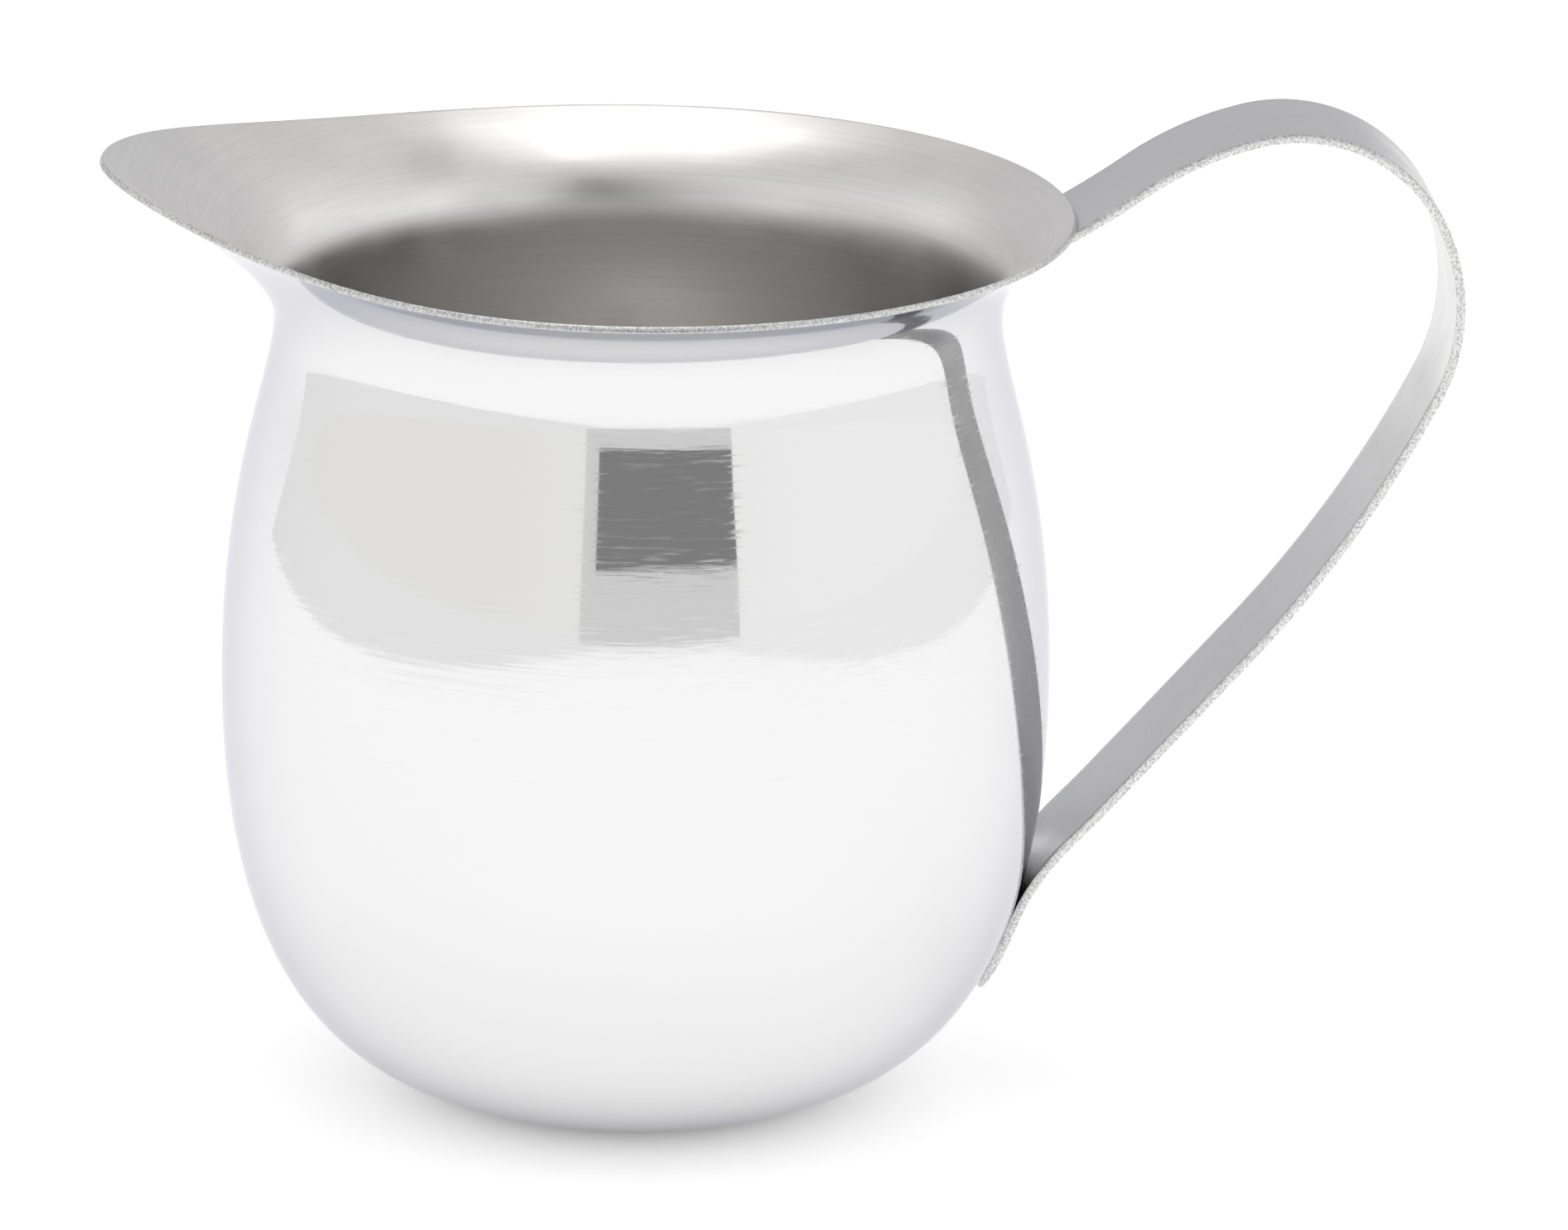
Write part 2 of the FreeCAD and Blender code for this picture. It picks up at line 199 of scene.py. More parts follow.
def matching_tangent(tangent, step, next_step):
    """Tangent length that gives the next curve the same curvature, where both run straight up."""
    return tangent * math.sqrt(next_step / step)


def lower_bowl(body):
    """Outer meridian from the floor to the widest place, as poles of a cubic curve."""
    return [
        (body.floor_radius, 0.0),
        (body.floor_radius + body.floor_run, 0.0),
        (body.belly_radius, body.belly_height - body.belly_fall),
        (body.belly_radius, body.belly_height),
    ]


def upper_bowl(body):
    """Outer meridian from the widest place to the neck."""
    floor_step = body.belly_radius - body.floor_radius - body.floor_run
    neck_step = body.belly_radius - body.neck_radius
    belly_rise = matching_tangent(body.belly_fall, floor_step, neck_step)
    return [
        (body.belly_radius, body.belly_height),
        (body.belly_radius, body.belly_height + belly_rise),
        (body.neck_radius, body.neck_height - body.neck_fall),
        (body.neck_radius, body.neck_height),
    ]


def fading(body, turn, spread, fade):
    """1 at the spout's tip, falling to 0 round the rim, with a rounded top."""
    rounded = math.hypot(turn, body.tip_blend) ** fade - body.tip_blend**fade
    return math.exp(-rounded / spread**fade)


def flare(body, turn):
    """Outer meridian from the neck to the rim, at a turn from the spout's tip."""
    reach = fading(body, turn, body.spout_spread, body.spout_fade)
    lift = fading(body, turn, body.lift_spread, body.lift_fade)
    rim_radius = body.rim_radius + body.spout_reach * reach
    rim_height = body.rim_height + body.spout_lift * lift
    length = body.lip_length + (body.spout_lip_length - body.lip_length) * reach
    slope = body.lip_angle + (body.spout_lip_angle - body.lip_angle) * reach
    plain_run = body.lip_length * math.cos(body.lip_angle)
    shoulder_step = body.belly_radius - body.neck_radius
    round_step = body.rim_radius - plain_run - body.neck_radius
    neck_rise = matching_tangent(body.neck_fall, shoulder_step, round_step)
    return [
        (body.neck_radius, body.neck_height),
        (body.neck_radius, body.neck_height + neck_rise),
        (rim_radius - length * math.cos(slope), rim_height - length * math.sin(slope)),
        (rim_radius, rim_height),
    ]


def on_curve(poles, place):
    """Point and unit tangent of a cubic curve at a place from 0 to 1."""
    rest = 1.0 - place
    weights = (rest**3, 3 * rest**2 * place, 3 * rest * place**2, place**3)
    slopes = (-3 * rest**2, 3 * rest**2 - 6 * rest * place, 6 * rest * place - 3 * place**2, 3 * place**2)
    point = [sum(w * pole[axis] for w, pole in zip(weights, poles)) for axis in (0, 1)]
    tangent = [sum(s * pole[axis] for s, pole in zip(slopes, poles)) for axis in (0, 1)]
    length = math.hypot(*tangent)
    return point, (tangent[0] / length, tangent[1] / length)


def place_at_height(poles, height):
    """Place on a rising curve where it has the given height."""
    low, high = 0.0, 1.0
    halvings = 50
    for _ in range(halvings):
        middle = (low + high) / 2
        if on_curve(poles, middle)[0][1] < height:
            low = middle
        else:
            high = middle
    return (low + high) / 2


def evenly(first, last, steps):
    """Evenly spaced values from the first to the last, both included."""
    return [first + (last - first) * step / steps for step in range(steps + 1)]


def turn_at(start, corner, end):
    """Heading on arrival at a corner and the turn taken there, in radians."""
    arrive = math.atan2(corner[1] - start[1], corner[0] - start[0])
    leave = math.atan2(end[1] - corner[1], end[0] - corner[0])
    return arrive, math.remainder(leave - arrive, 2 * math.pi)


def bend_points(start, corner, end, radius, step_length):
    """Points round a bend that is tangent to both legs of a corner."""
    arrive, turn = turn_at(start, corner, end)
    setback = radius * math.tan(abs(turn) / 2)
    side = math.copysign(radius, turn)
    first = (corner[0] - setback * math.cos(arrive), corner[1] - setback * math.sin(arrive))
    centre = (first[0] - side * math.sin(arrive), first[1] + side * math.cos(arrive))
    headings = evenly(arrive, arrive + turn, max(3, math.ceil(radius * abs(turn) / step_length)))
    return [(centre[0] + side * math.sin(a), centre[1] - side * math.cos(a)) for a in headings]


def tab_points(body, strap, poles, places):
    """Centre line of a tab that lies against the body, along one of its meridians."""
    stand_off = strap.gauge / 2 + strap.weld_gap
    points = []
    for place in places:
        (radius, height), (run, rise) = on_curve(poles, place)
        points.append((radius + stand_off * rise, height - stand_off * run))
    return points


def strap_line(body, strap):
    """Centre line of the strip, and the two points where its tabs leave the body."""
    step_length = 0.6 * MM
    tab_steps = 14
    corner_steps = 16
    upper, lower = flare(body, math.pi), lower_bowl(body)
    upper_tab = tab_points(body, strap, upper, evenly(strap.upper_tab_start, 1.0, tab_steps))
    top = place_at_height(lower, strap.lower_tab_top)
    end = place_at_height(lower, strap.lower_tab_end)
    tab_length = math.dist(on_curve(lower, top)[0], on_curve(lower, end)[0])
    corner_share = strap.tab_corner / tab_length
    shares = evenly(0.0, 1.0 - corner_share, tab_steps)
    turns = evenly(0.0, math.pi / 2, corner_steps)[1:]
    shares += [1.0 - corner_share + corner_share * math.sin(turn) for turn in turns]
    lower_tab = tab_points(body, strap, lower, [top + (end - top) * share for share in shares])

    lip, foot = upper_tab[-1], lower_tab[0]
    heading, rising = on_curve(upper, 1.0)[1], on_curve(lower, top)[1]
    corners = [
        lip,
        (lip[0] + strap.upper_lead * heading[0], lip[1] + strap.upper_lead * heading[1]),
        (strap.shoulder_reach, strap.shoulder_height),
        (strap.crest_reach, strap.crest_height),
        (strap.back_reach, strap.back_height),
        (strap.waist_reach, strap.waist_height),
        (foot[0] + strap.lower_lead * rising[0], foot[1] + strap.lower_lead * rising[1]),
        foot,
    ]
    bends = [
        strap.upper_lead / math.tan(abs(turn_at(*corners[:3])[1]) / 2),
        strap.shoulder_bend,
        strap.crest_bend,
        strap.back_bend,
        strap.waist_bend,
        strap.lower_lead / math.tan(abs(turn_at(*corners[-3:])[1]) / 2),
    ]
    points = list(upper_tab)
    for index, radius in enumerate(bends):
        bend = bend_points(*corners[index : index + 3], radius, step_length)
        straight = math.dist(points[-1], bend[0])
        last = points[-1]
        for share in evenly(0.0, 1.0, max(1, round(straight / step_length)))[1:-1]:
            points.append(tuple(last[axis] + (bend[0][axis] - last[axis]) * share for axis in (0, 1)))
        points += bend if straight > step_length / 2 else bend[1:]
    points += lower_tab[1:]
    return points, lip, foot


# ---------------------------------------------------------------------------------------------
# Mesh helpers
# ---------------------------------------------------------------------------------------------


def edit(piece):
    """Edit mode on one piece, with nothing selected."""
    bpy.ops.object.select_all(action="DESELECT")
    piece.select_set(True)
    bpy.context.view_layer.objects.active = piece
    bpy.ops.object.mode_set(mode="EDIT")
    bpy.ops.mesh.select_all(action="DESELECT")


def leave_edit():
    """Back to object mode."""
    bpy.ops.object.mode_set(mode="OBJECT")


def pick(piece, kind, chosen):
    """Selects the vertices, edges or faces that a test picks, and goes back to edit mode."""
    bpy.ops.mesh.select_all(action="DESELECT")
    bpy.ops.mesh.select_mode(type={"vertices": "VERT", "edges": "EDGE", "polygons": "FACE"}[kind])
    bpy.ops.object.mode_set(mode="OBJECT")
    for element in getattr(piece.data, kind):
        element.select = chosen(element)
    bpy.ops.object.mode_set(mode="EDIT")


def add_modifier(piece, kind, **settings):
    """Adds a modifier with its settings and applies it."""
    modifier = piece.modifiers.new(kind.title(), kind)
    for name, value in settings.items():
        setattr(modifier, name, value)
    bpy.ops.object.select_all(action="DESELECT")
    piece.select_set(True)
    bpy.context.view_layer.objects.active = piece
    bpy.ops.object.modifier_apply(modifier=modifier.name)


def dent(piece, centre, outward, radius, depth):
    """Presses a shallow round dent into the skin that faces outward at the centre."""
    for vertex in piece.data.vertices:
        offset = vertex.co - centre
        reach = offset.length / radius
        if reach < 1.0 and vertex.normal.dot(outward) > 0.5:
            vertex.co -= outward * (depth * (math.cos(math.pi * reach) + 1) / 2)


# ---------------------------------------------------------------------------------------------
# Materials
# ---------------------------------------------------------------------------------------------

# How long the lines of each finish run before they fade, and how wide its cloudy patches are.
BUFFING_STREAK = 3.5 * MM
SATIN_STREAK = 18 * MM
STRIP_STREAK = 20 * MM
TOUCHED_SPACING = 19 * MM
PAD_CLOUD = 11 * MM
STRIP_CLOUD = 20 / 3 * MM
WELD_CLOUD = 0.6 * MM


def add_node(tree, kind, settings=None, inputs=None):
    """Adds a node; an input is a value, or the output socket of another node."""
    node = tree.nodes.new(kind)
    for name, value in (settings or {}).items():
        setattr(node, name, value)
    for name, value in (inputs or {}).items():
        if isinstance(value, bpy.types.NodeSocket):
            tree.links.new(value, node.inputs[name])
        else:
            node.inputs[name].default_value = value
    return node


def new_steel(name):
    """A metal with its shader and object coordinates ready."""
    material = bpy.data.materials.new(name)
    material.use_nodes = True
    tree = material.node_tree
    tree.nodes.clear()
    shader = add_node(tree, "ShaderNodeBsdfPrincipled", inputs={"Metallic": 1.0})
    add_node(tree, "ShaderNodeOutputMaterial", inputs={"Surface": shader.outputs["BSDF"]})
    return material, tree, shader, add_node(tree, "ShaderNodeTexCoord").outputs["Object"]


def turned_lines(tree, place, spacing, streak):
    """Grey value of fine lines that run round the Z axis, as long as the streak before they fade."""
    parts = add_node(tree, "ShaderNodeSeparateXYZ", inputs={0: place}).outputs
    square = add_node(tree, "ShaderNodeMath", {"operation": "MULTIPLY"}, {0: parts["X"], 1: parts["X"]})
    squares = add_node(
        tree,
        "ShaderNodeMath",
        {"operation": "MULTIPLY_ADD"},
        {0: parts["Y"], 1: parts["Y"], 2: square.outputs["Value"]},
    )
    radius = add_node(tree, "ShaderNodeMath", {"operation": "SQRT"}, {0: squares.outputs["Value"]})
    around = add_node(
        tree, "ShaderNodeMath", {"operation": "MULTIPLY_ADD"}, {0: parts["Y"], 1: 1.7, 2: parts["X"]}
    )
    vector = add_node(
        tree,
        "ShaderNodeCombineXYZ",
        inputs={"X": radius.outputs["Value"], "Y": parts["Z"], "Z": around.outputs["Value"]},
    )
    stretched = add_node(
        tree,
        "ShaderNodeMapping",
        inputs={"Vector": vector.outputs["Vector"], "Scale": (1 / spacing, 1 / spacing, 1 / streak)},
    )
    lines = add_node(
        tree,
        "ShaderNodeTexNoise",
        inputs={"Vector": stretched.outputs["Vector"], "Scale": 1.0, "Detail": 3.0},
    )
    return lines.outputs["Fac"]


def polished_steel(finish):
    """Stainless sheet, drawn and then buffed on a lathe: a mirror with fine lines that fray reflections."""
    material, tree, shader, place = new_steel("stainless_sheet_buffed")
    shader.inputs["Base Color"].default_value = finish.polished
    shader.inputs["Specular Tint"].default_value = finish.polished_edge
    lines = turned_lines(tree, place, finish.buffing_line, BUFFING_STREAK)
    # The deeper lines scatter light, and so do a few spots the size of a pinhead that were touched.
    scratches = add_node(
        tree,
        "ShaderNodeMapRange",
        inputs={"Value": lines, "From Min": 0.5, "From Max": 0.75, "To Min": 0.035, "To Max": 0.2},
    )
    touched = add_node(
        tree,
        "ShaderNodeTexVoronoi",
        inputs={"Vector": place, "Scale": 1 / TOUCHED_SPACING, "Randomness": 1.0},
    )
    spots = add_node(
        tree,
        "ShaderNodeMapRange",
        inputs={
            "Value": touched.outputs["Distance"],
            "From Min": 0.02,
            "From Max": 0.05,
            "To Min": 0.25,
            "To Max": 0.0,
        },
    )
    roughness = add_node(
        tree,
        "ShaderNodeMath",
        {"operation": "MAXIMUM"},
        {0: scratches.outputs["Result"], 1: spots.outputs["Result"]},
    )
    tree.links.new(roughness.outputs["Value"], shader.inputs["Roughness"])
    bump = add_node(
        tree,
        "ShaderNodeBump",
        inputs={"Height": lines, "Strength": 1.0, "Distance": 0.009 * finish.buffing_line},
    )
    tree.links.new(bump.outputs["Normal"], shader.inputs["Normal"])
    return material


def satin_inside(finish):
    """The same sheet inside, finished with an abrasive pad: satin, with plain turning lines."""
    material, tree, shader, place = new_steel("stainless_sheet_satin")
    lines = turned_lines(tree, place, finish.satin_line, SATIN_STREAK)
    steel = add_node(
        tree,
        "ShaderNodeMix",
        {"data_type": "RGBA"},
        {"Factor": lines, "A": (*(0.84 * part for part in finish.inside[:3]), 1.0), "B": finish.inside},
    )
    tree.links.new(steel.outputs["Result"], shader.inputs["Base Color"])
    # The pad was pressed harder in some places, which shows as clouds about a finger wide.
    clouds = add_node(
        tree, "ShaderNodeTexNoise", inputs={"Vector": place, "Scale": 1 / PAD_CLOUD, "Detail": 3.0}
    )
    roughness = add_node(
        tree,
        "ShaderNodeMapRange",
        inputs={
            "Value": clouds.outputs["Fac"],
            "From Min": 0.3,
            "From Max": 0.7,
            "To Min": 0.27,
            "To Max": 0.46,
        },
    )
    tree.links.new(roughness.outputs["Result"], shader.inputs["Roughness"])
    bump = add_node(
        tree,
        "ShaderNodeBump",
        inputs={"Height": lines, "Strength": 1.0, "Distance": 0.012 * finish.satin_line},
    )
    tree.links.new(bump.outputs["Normal"], shader.inputs["Normal"])
    return material


def satin_strip(finish):
    """Flat bar with a mill satin finish: faint lines along its length, cloudy where it was handled."""
    material, tree, shader, place = new_steel("stainless_strip_satin")
    lengthwise = add_node(
        tree,
        "ShaderNodeMapping",
        inputs={"Vector": place, "Scale": (1 / STRIP_STREAK, 1 / finish.satin_line, 1 / STRIP_STREAK)},
    )
    lines = add_node(
        tree,
        "ShaderNodeTexNoise",
        inputs={"Vector": lengthwise.outputs["Vector"], "Scale": 1.0, "Detail": 3.0},
    )
    steel = add_node(
        tree,
        "ShaderNodeMix",
        {"data_type": "RGBA"},
        {
            "Factor": lines.outputs["Fac"],
            "A": (*(0.88 * part for part in finish.strip[:3]), 1.0),
            "B": finish.strip,
        },
    )
    tree.links.new(steel.outputs["Result"], shader.inputs["Base Color"])
    clouds = add_node(
        tree, "ShaderNodeTexNoise", inputs={"Vector": place, "Scale": 1 / STRIP_CLOUD, "Detail": 4.0}
    )
    roughness = add_node(
        tree,
        "ShaderNodeMapRange",
        inputs={
            "Value": clouds.outputs["Fac"],
            "From Min": 0.3,
            "From Max": 0.7,
            "To Min": 0.22,
            "To Max": 0.34,
        },
    )
    tree.links.new(roughness.outputs["Result"], shader.inputs["Roughness"])
    bump = add_node(
        tree,
        "ShaderNodeBump",
        inputs={"Height": lines.outputs["Fac"], "Strength": 1.0, "Distance": 0.01 * finish.satin_line},
    )
    tree.links.new(bump.outputs["Normal"], shader.inputs["Normal"])
    return material


def sheared_edge(finish):
    """The torn face that shears leave: grains too fine to make out one by one, some brighter than others."""
    material, tree, shader, place = new_steel("stainless_sheared_edge")
    grain = add_node(
        tree, "ShaderNodeTexNoise", inputs={"Vector": place, "Scale": 1 / finish.shear_grain, "Detail": 2.0}
    )
    contrast = add_node(
        tree, "ShaderNodeMapRange", inputs={"Value": grain.outputs["Fac"], "From Min": 0.38, "From Max": 0.58}
    )
    steel = add_node(
        tree,
        "ShaderNodeMix",
        {"data_type": "RGBA"},
        {
            "Factor": contrast.outputs["Result"],
            "A": (*(0.62 * part for part in finish.cut_edge[:3]), 1.0),
            "B": finish.cut_edge,
        },
    )
    tree.links.new(steel.outputs["Result"], shader.inputs["Base Color"])
    shader.inputs["Roughness"].default_value = 0.38
    bump = add_node(
        tree,
        "ShaderNodeBump",
        inputs={"Height": grain.outputs["Fac"], "Strength": 1.0, "Distance": 0.06 * finish.shear_grain},
    )
    tree.links.new(bump.outputs["Normal"], shader.inputs["Normal"])
    return material


def fused_weld(finish):
    """Metal that has melted between two sheets: matt and slightly dark."""
    material, tree, shader, place = new_steel("stainless_fused_weld")
    clouds = add_node(
        tree, "ShaderNodeTexNoise", inputs={"Vector": place, "Scale": 1 / WELD_CLOUD, "Detail": 3.0}
    )
    steel = add_node(
        tree,
        "ShaderNodeMix",
        {"data_type": "RGBA"},
        {
            "Factor": clouds.outputs["Fac"],
            "A": (*(0.6 * part for part in finish.weld[:3]), 1.0),
            "B": finish.weld,
        },
    )
    tree.links.new(steel.outputs["Result"], shader.inputs["Base Color"])
    shader.inputs["Roughness"].default_value = 0.5
    bump = add_node(
        tree,
        "ShaderNodeBump",
        inputs={"Height": clouds.outputs["Fac"], "Strength": 1.0, "Distance": 0.02 * MM},
    )
    tree.links.new(bump.outputs["Normal"], shader.inputs["Normal"])
    return material


# ---------------------------------------------------------------------------------------------
# Operators
# ---------------------------------------------------------------------------------------------


class JUG_OT_press_body(bpy.types.Operator):
    """Draws the bell from a ring, pulls the spout out of its flare and gives the sheet its gauge"""

    bl_idname = "jug.press_body"
    bl_label = "Press the body"

    def execute(self, context):
        body, finish = context.scene.jug_body, context.scene.jug_finish
        segments = 360
        bowl_steps = 32
        flare_places = evenly(0.0, 1.0, 26)
        outline = [on_curve(lower_bowl(body), place)[0] for place in evenly(0.0, 1.0, bowl_steps)]
        outline += [on_curve(upper_bowl(body), place)[0] for place in evenly(0.0, 1.0, bowl_steps)[1:]]
        plain_flare = [on_curve(flare(body, math.pi), place)[0] for place in flare_places]
        outline += plain_flare[1:]

        bpy.ops.object.select_all(action="DESELECT")
        bpy.ops.mesh.primitive_circle_add(vertices=segments, radius=body.floor_radius)
        piece = context.active_object
        piece.name = piece.data.name = "jug_body_sheet"
        edit(piece)
        bpy.ops.mesh.select_all(action="SELECT")
        bpy.ops.mesh.edge_face_add()
        pick(piece, "edges", lambda edge: True)
        for (radius, height), (next_radius, next_height) in zip(outline, outline[1:]):
            growth = next_radius / radius
            rise = (0, 0, next_height - height)
            bpy.ops.mesh.extrude_edges_move(TRANSFORM_OT_translate={"value": rise})
            bpy.ops.transform.resize(value=(growth, growth, 1), center_override=(0, 0, next_height))
        # The rim is the part farthest from the middle, and its outside faces down and so inwards.
        bpy.ops.mesh.select_all(action="SELECT")
        bpy.ops.mesh.normals_make_consistent(inside=True)
        leave_edit()
        self.pull_spout(piece, body, plain_flare, flare_places)

        for make in (polished_steel, satin_inside, sheared_edge):
            piece.data.materials.append(make(finish))
        add_modifier(
            piece,
            "SOLIDIFY",
            thickness=body.sheet_gauge,
            offset=-1.0,
            use_even_offset=True,
            material_offset=1,
            material_offset_rim=2,
        )
        edit(piece)
        pick(piece, "polygons", lambda face: face.material_index == 2)
        bpy.ops.mesh.region_to_loop()
        bpy.ops.mesh.bevel(offset=body.rim_break, segments=2, material=2)
        leave_edit()
        self.mark_welds(piece, body)
        bpy.ops.object.shade_smooth_by_angle(angle=math.radians(40))
        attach(piece, "root")
        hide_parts("jug_body")
        return {"FINISHED"}

    @staticmethod
    def pull_spout(piece, body, plain_flare, flare_places):
        """Moves each ring of the plain flare out and up to where the spout has it."""
        heights = [height for _, height in plain_flare]
        for vertex in piece.data.vertices:
            if vertex.co.z > body.neck_height + 0.01 * MM:
                ring = min(range(len(heights)), key=lambda index: abs(heights[index] - vertex.co.z))
                around = math.atan2(vertex.co.y, vertex.co.x)
                radius, height = on_curve(flare(body, math.pi - abs(around)), flare_places[ring])[0]
                vertex.co = (radius * math.cos(around), radius * math.sin(around), height)

    @staticmethod
    def mark_welds(piece, body):
        """Presses the two shallow dents that the welding tips leave inside the flare, over the tab."""
        half_pitch = 4.3 * MM
        (radius, height), (run, rise) = on_curve(flare(body, math.pi), 0.75)
        for side in (-1, 1):
            around = side * math.asin(half_pitch / radius)
            inward = Vector((-rise * math.cos(around), -rise * math.sin(around), run))
            skin = Vector((radius * math.cos(around), radius * math.sin(around), height))
            dent(piece, skin + inward * body.sheet_gauge, inward, body.mark_radius, body.mark_depth)


class JUG_OT_bend_strap(bpy.types.Operator):
    """Bends the flat strip along its centre line and lays its tabs against the body"""

    bl_idname = "jug.bend_strap"
    bl_label = "Bend the strap"

    def execute(self, context):
        body, strap, finish = context.scene.jug_body, context.scene.jug_strap, context.scene.jug_finish
        lanes = 20
        line, lip, foot = strap_line(body, strap)

        bpy.ops.object.select_all(action="DESELECT")
        bpy.ops.mesh.primitive_grid_add(x_subdivisions=1, y_subdivisions=lanes, size=strap.width)
        piece = context.active_object
        piece.name = piece.data.name = "strap_handle_strip"
        for vertex in piece.data.vertices:
            reach, height = line[1] if vertex.co.x > 0 else line[0]
            vertex.co = (reach, vertex.co.y, height)
        half_step = math.dist(line[0], line[1]) / 2
        edit(piece)
        pick(piece, "vertices", lambda vertex: math.dist((vertex.co.x, vertex.co.z), line[1]) < half_step)
        bpy.ops.mesh.select_mode(type="EDGE")
        for point, following in zip(line[1:], line[2:]):
            step = (following[0] - point[0], 0, following[1] - point[1])
            bpy.ops.mesh.extrude_edges_move(TRANSFORM_OT_translate={"value": step})
        leave_edit()

        self.round_end(piece, strap, line[-1])
        self.wrap_tabs(piece, strap, lip, foot)
        for make in (satin_strip, sheared_edge):
            piece.data.materials.append(make(finish))
        add_modifier(
            piece, "SOLIDIFY", thickness=strap.gauge, offset=0.0, use_even_offset=True, material_offset_rim=1
        )
        edit(piece)
        bpy.ops.mesh.select_all(action="SELECT")
        bpy.ops.mesh.normals_make_consistent(inside=False)
        pick(piece, "polygons", lambda face: face.material_index == 1)
        bpy.ops.mesh.region_to_loop()
        bpy.ops.mesh.bevel(offset=strap.edge_break, segments=2, material=1)
        leave_edit()
        bpy.ops.object.shade_smooth_by_angle(angle=math.radians(40))
        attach(piece, "root")
        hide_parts("strap_handle")
        return {"FINISHED"}

    @staticmethod
    def round_end(piece, strap, end):
        """Rounds the two corners of the lower tab."""
        half_width = strap.width / 2
        for vertex in piece.data.vertices:
            short = strap.tab_corner - math.dist((vertex.co.x, vertex.co.z), end)
            if short > 0:
                half = half_width - strap.tab_corner + math.sqrt(strap.tab_corner**2 - short**2)
                vertex.co.y *= half / half_width

    @staticmethod
    def wrap_tabs(piece, strap, lip, foot):
        """Curves the tabs round the body, and lets the curve fade out along the loop."""
        for vertex in piece.data.vertices:
            reach, height = vertex.co.x, vertex.co.z
            upper = height > (lip[1] + foot[1]) / 2
            on_tab = reach < lip[0] if upper else height < foot[1]
            away = 0.0 if on_tab else math.dist((reach, height), lip if upper else foot)
            wrap = (1.0 + math.cos(math.pi * min(1.0, away / strap.wrap_run))) / 2
            radius = reach if on_tab else (lip if upper else foot)[0]
            vertex.co.x -= wrap * (radius - math.sqrt(radius**2 - vertex.co.y**2))


class JUG_OT_finish_welds(bpy.types.Operator):
    """Gives the weld nuggets between the strap and the body their fused finish"""

    bl_idname = "jug.finish_welds"
    bl_label = "Finish the welds"

    def execute(self, context):
        material = fused_weld(context.scene.jug_finish)
        for name in ("upper_spot_welds", "lower_spot_welds"):
            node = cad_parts[name]
            if not node.material_slots:
                node.data.materials.append(material)
            for slot in node.material_slots:
                slot.material = material
        return {"FINISHED"}


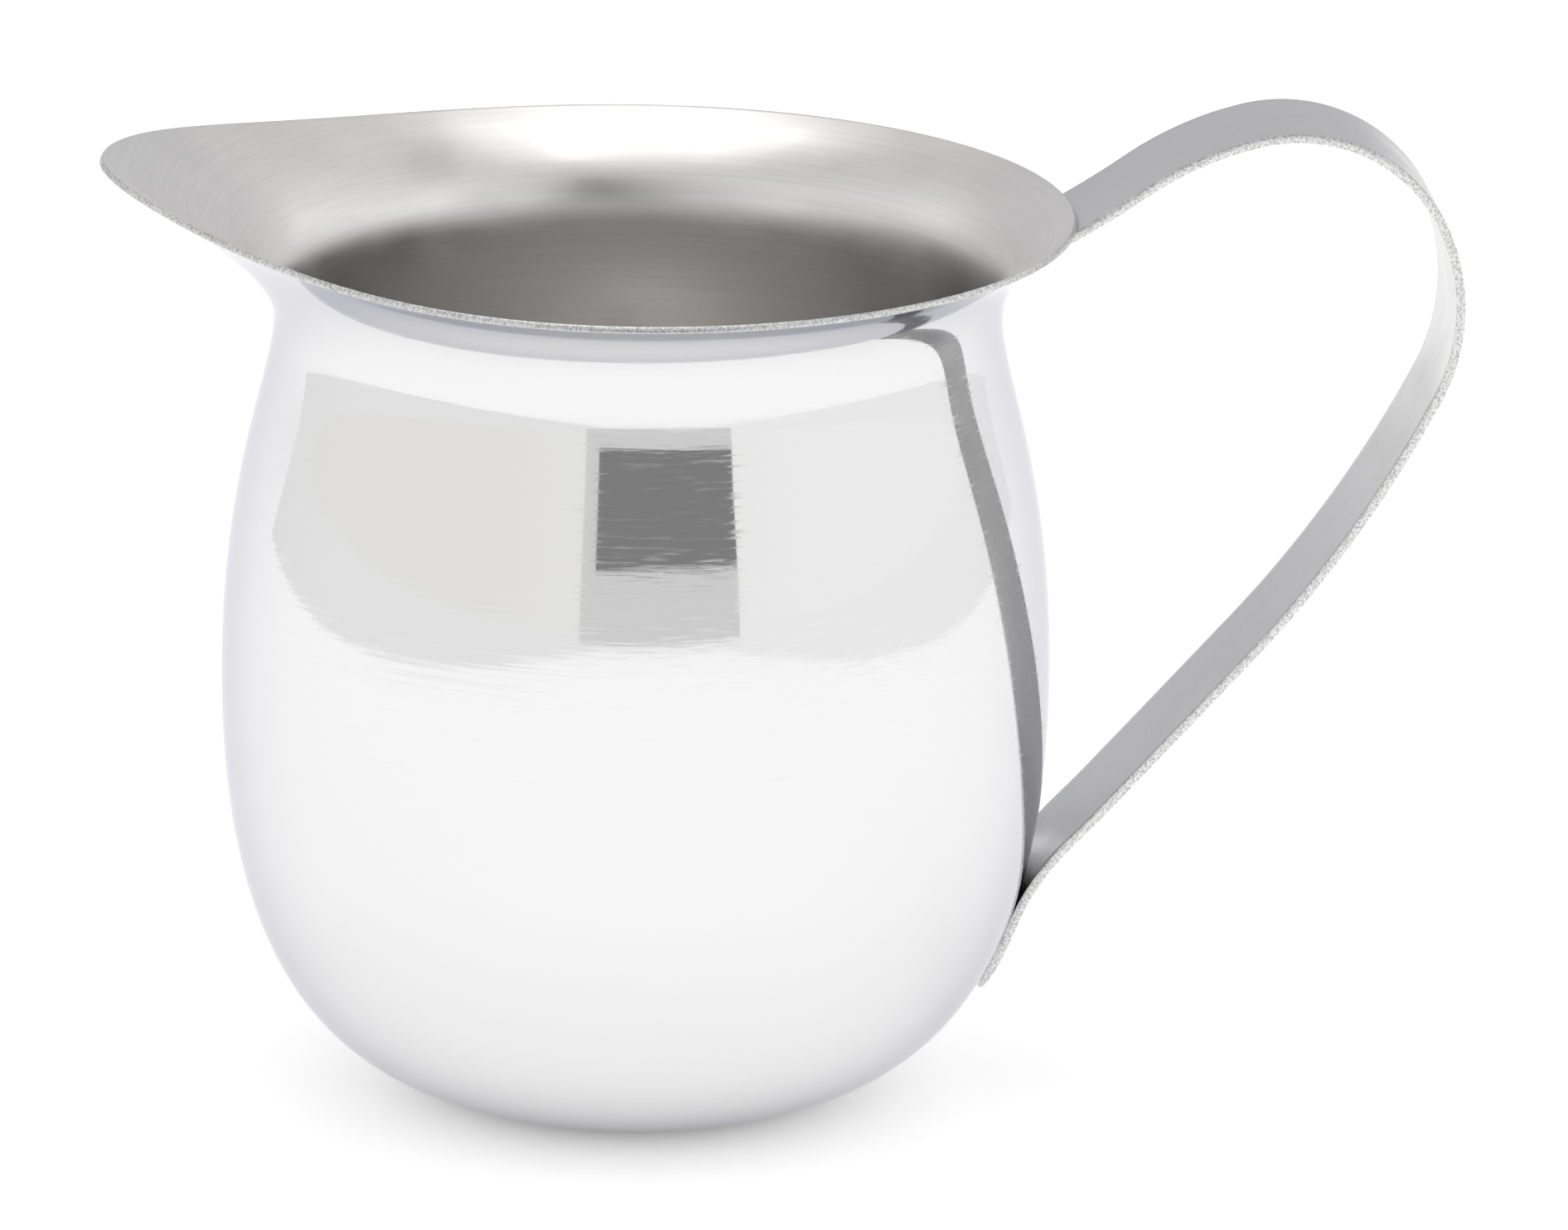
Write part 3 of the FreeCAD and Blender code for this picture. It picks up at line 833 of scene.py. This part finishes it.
class JUG_OT_set_stage(bpy.types.Operator):
    """Sets the light table, the studio's walls and softbox, and the camera"""

    bl_idname = "jug.set_stage"
    bl_label = "Set the stage"

    def execute(self, context):
        stage = context.scene.jug_stage
        context.scene.view_settings.view_transform = "Standard"
        self.lay_floor(context, stage)
        self.paint_walls(context, stage)
        self.hang_softbox(context)
        self.place_camera(context, stage)

        # Where the jug stands, the table is as wide as this; beside it, cards seen only in reflections paint
        # it as pale as the walls, a painted reflection.
        table_side, table_front, far = 0.35, 1.3, 8.0
        card_level = 1 * MM
        for name, side, glow in (("left", -1, 0.93), ("right", 1, 1.0)):
            near, away = side * table_side, side * far
            corners = [
                (near, -far, card_level), (away, -far, card_level),
                (away, 0.75 * far, card_level), (near, 0.27, card_level),
            ]
            self.hang_reflection_card(context, f"{name}_of_table", corners, glow)
        corners = [
            (-table_side, -far, card_level), (table_side, -far, card_level),
            (table_side, -table_front, card_level), (-table_side, -table_front, card_level),
        ]
        self.hang_reflection_card(context, "front_of_table", corners, 0.97)
        # Painted reflections, on cards seen only in reflections: a dim gap in the walls behind the camera,
        # and in it the dark camera stand.
        for name, bearings, levels, away, glow in (
            ("gap_in_walls", (-20.5, 23.5), (-4.0, 50.0), 1.9, 0.74),
            ("camera_stand", (-16.5, 23.5), (8.2, 40.0), 1.8, 0.245),
        ):
            low, high = (away * math.tan(math.radians(level)) for level in levels)
            start, end = (
                (away * math.sin(math.radians(bearing)), -away * math.cos(math.radians(bearing)))
                for bearing in bearings
            )
            corners = [(*start, low), (*end, low), (*end, high), (*start, high)]
            self.hang_reflection_card(context, name, corners, glow)
        return {"FINISHED"}

    @staticmethod
    def lay_floor(context, stage):
        """A large pale table, faintly lit from within, so that the jug's shadow stays soft; under the jug its
        glow fades out, a painted shadow.
        """
        bpy.ops.object.select_all(action="DESELECT")
        bpy.ops.mesh.primitive_circle_add(vertices=96, radius=6.0, fill_type="NGON")
        floor = context.active_object
        floor.name = floor.data.name = "light_table"
        material = bpy.data.materials.new("opal_acrylic_lit")
        material.use_nodes = True
        shader = material.node_tree.nodes["Principled BSDF"]
        shader.inputs["Base Color"].default_value = stage.floor
        shader.inputs["Roughness"].default_value = 0.9
        shader.inputs["Specular IOR Level"].default_value = 0.1
        shader.inputs["Emission Color"].default_value = stage.floor
        # The table's glow is made to fade out under the jug, a painted soft shadow round the foot.
        place = add_node(material.node_tree, "ShaderNodeTexCoord").outputs["Object"]
        reach = add_node(
            material.node_tree, "ShaderNodeVectorMath", {"operation": "LENGTH"}, {0: place}
        )
        glow = add_node(
            material.node_tree,
            "ShaderNodeMapRange",
            {"interpolation_type": "SMOOTHSTEP"},
            {"Value": reach.outputs["Value"], "From Min": 4 * MM, "From Max": 30 * MM, "To Max": 0.57},
        )
        material.node_tree.links.new(glow.outputs["Result"], shader.inputs["Emission Strength"])
        floor.data.materials.append(material)

    @staticmethod
    def paint_walls(context, stage):
        """The studio's pale walls: dimmer behind the jug and towards the ceiling, brighter on the right."""
        world = bpy.data.worlds.new("studio_walls")
        context.scene.world = world
        world.use_nodes = True
        tree = world.node_tree
        tree.nodes.clear()
        parts = add_node(
            tree,
            "ShaderNodeSeparateXYZ",
            inputs={0: add_node(tree, "ShaderNodeTexCoord").outputs["Object"]},
        ).outputs
        shades = [stage.walls]
        for axis, start, full, strength, tint in (
            ("X", -0.8, 0.8, 1.1, (1.0, 1.0, 1.0)),
            ("Y", 0.55, 0.68, 0.66, (0.99, 0.99, 1.02)),
            ("Z", 0.4, 0.75, 0.62, (1.0, 1.0, 1.0)),
        ):
            factor = add_node(
                tree, "ShaderNodeMapRange", inputs={"Value": parts[axis], "From Min": start, "From Max": full}
            )
            there = (*(strength * part for part in tint), 1.0)
            mix = add_node(
                tree,
                "ShaderNodeMix",
                {"data_type": "RGBA"},
                {"Factor": factor.outputs["Result"], "A": shades[-1], "B": there},
            )
            shades.append(mix.outputs["Result"])
        background = add_node(tree, "ShaderNodeBackground", inputs={"Color": shades[-1], "Strength": 0.93})
        add_node(tree, "ShaderNodeOutputWorld", inputs={"Surface": background.outputs["Background"]})

    @staticmethod
    def hang_softbox(context):
        """A soft rectangular lamp straight above the jug."""
        data = bpy.data.lights.new("overhead_softbox", "AREA")
        data.shape = "RECTANGLE"
        data.size, data.size_y = 0.95, 1.25
        data.energy = 4.4
        softbox = bpy.data.objects.new("overhead_softbox", data)
        softbox.location = (0.0, -0.05, 1.35)
        context.scene.collection.objects.link(softbox)

    @staticmethod
    def hang_reflection_card(context, name, corners, glow):
        """A card, seen only in reflections, that glows as brightly as what stands there: a painted
        reflection.
        """
        bpy.ops.object.select_all(action="DESELECT")
        bpy.ops.mesh.primitive_plane_add(size=1)
        card = context.active_object
        card.name = card.data.name = name
        for vertex, corner in zip(card.data.vertices, (corners[0], corners[1], corners[3], corners[2])):
            vertex.co = corner
        material = bpy.data.materials.new(f"{name}_glow")
        material.use_nodes = True
        tree = material.node_tree
        tree.nodes.clear()
        emission = add_node(
            tree, "ShaderNodeEmission", inputs={"Color": (1.0, 1.0, 1.0, 1.0), "Strength": glow}
        )
        add_node(tree, "ShaderNodeOutputMaterial", inputs={"Surface": emission.outputs["Emission"]})
        card.data.materials.append(material)
        card.visible_camera = card.visible_diffuse = card.visible_shadow = False

    @staticmethod
    def place_camera(context, stage):
        """A long lens a little above the jug, aimed beside its axis so that the handle fits."""
        camera = bpy.data.objects.new("camera", bpy.data.cameras.new("camera"))
        context.scene.collection.objects.link(camera)
        camera.data.sensor_width = 36.0
        camera.data.lens = stage.lens
        camera.data.clip_end = 50.0
        around = Matrix.Rotation(stage.azimuth, 4, "Z")
        aim = around @ Vector((stage.aim_right, 0, stage.aim_height))
        back = around @ Vector((0, -math.cos(stage.elevation), math.sin(stage.elevation)))
        turn = back.to_track_quat("Z", "Y").to_matrix().to_4x4()
        spin = Matrix.Rotation(stage.roll, 4, "Z")
        camera.matrix_world = Matrix.Translation(aim + back * stage.distance) @ turn @ spin
        context.scene.camera = camera


class JUG_PT_panel(bpy.types.Panel):
    """Lists the steps that make the jug"""

    bl_idname = "JUG_PT_panel"
    bl_label = "Cream jug"
    bl_space_type = "VIEW_3D"
    bl_region_type = "UI"
    bl_category = "Cream jug"

    def draw(self, context):
        for step in STEPS:
            self.layout.operator(step.bl_idname)
        for group in GROUPS:
            settings = getattr(context.scene, group)
            box = self.layout.box()
            for name in settings.bl_rna.properties.keys():
                if name not in ("rna_type", "name"):
                    box.prop(settings, name)


GROUPS = {
    "jug_body": JUG_PG_body,
    "jug_strap": JUG_PG_strap,
    "jug_finish": JUG_PG_finish,
    "jug_stage": JUG_PG_stage,
}
STEPS = (JUG_OT_press_body, JUG_OT_bend_strap, JUG_OT_finish_welds, JUG_OT_set_stage)
CLASSES = (*GROUPS.values(), *STEPS, JUG_PT_panel)


def register():
    for cls in CLASSES:
        bpy.utils.register_class(cls)
    for name, group in GROUPS.items():
        setattr(bpy.types.Scene, name, bpy.props.PointerProperty(type=group))


def unregister():
    for name in GROUPS:
        delattr(bpy.types.Scene, name)
    for cls in reversed(CLASSES):
        bpy.utils.unregister_class(cls)


def main():
    register()
    bpy.ops.jug.press_body()
    bpy.ops.jug.bend_strap()
    bpy.ops.jug.finish_welds()
    bpy.ops.jug.set_stage()


if __name__ == "__main__":
    main()
